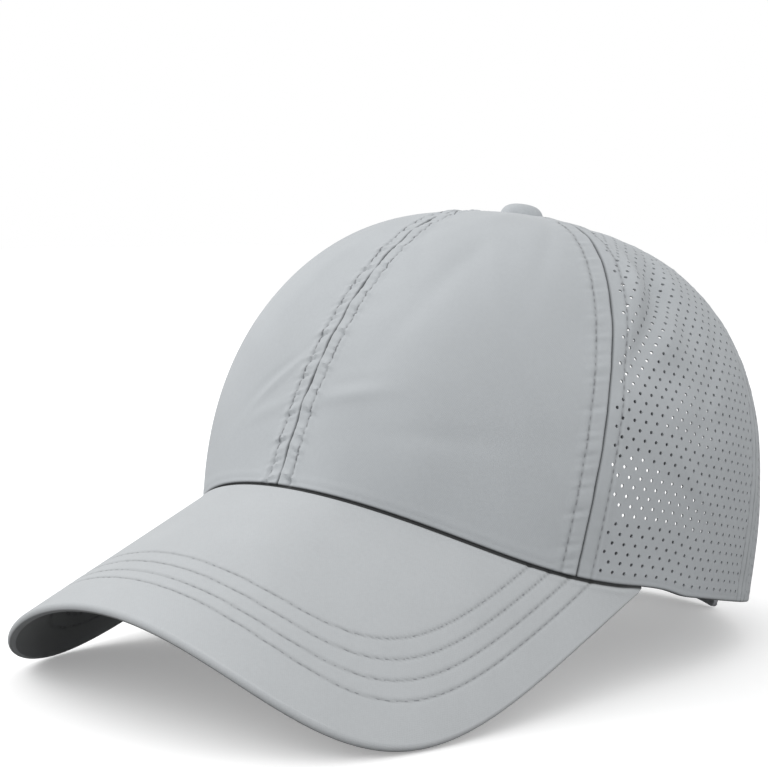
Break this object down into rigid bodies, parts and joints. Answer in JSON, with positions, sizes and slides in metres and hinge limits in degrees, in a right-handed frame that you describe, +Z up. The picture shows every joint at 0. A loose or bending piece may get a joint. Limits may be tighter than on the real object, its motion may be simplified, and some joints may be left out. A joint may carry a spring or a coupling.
{
  "type": "ponytail baseball cap",
  "caption": "Soft cap with a curved peak, perforated side and back panels, a teardrop opening for a ponytail, crossed back straps and a closure strap.",
  "frame": {"origin": "on the floor, under the middle of the cap's bounding box", "axes": "+Z up from the floor that the cap rests on, -Y the way the peak points, +X the wearer's left"},
  "size_m": [0.1848, 0.26, 0.1482],
  "materials": {
    "crown_cloth": "plain woven polyester, matt with a slight sheen",
    "mesh_cloth": "the same cloth, finely perforated",
    "peak_cloth": "plain woven polyester over a stiff peak, rows of stitching",
    "strap_tape": "smooth woven tape, matt"
  },
  "bodies": {
    "root": {"front_panel_left": "crown_cloth", "front_panel_right": "crown_cloth", "side_panel_left": "mesh_cloth", "side_panel_right": "mesh_cloth", "back_panel_left": "mesh_cloth", "back_panel_right": "mesh_cloth", "opening_binding_left": "crown_cloth", "opening_binding_right": "crown_cloth", "peak": "peak_cloth", "button": "crown_cloth", "cross_strap_over": "strap_tape", "cross_strap_under": "strap_tape", "closure_strap_outer": "strap_tape", "closure_strap_inner": "strap_tape"}
  },
  "joints": []
}
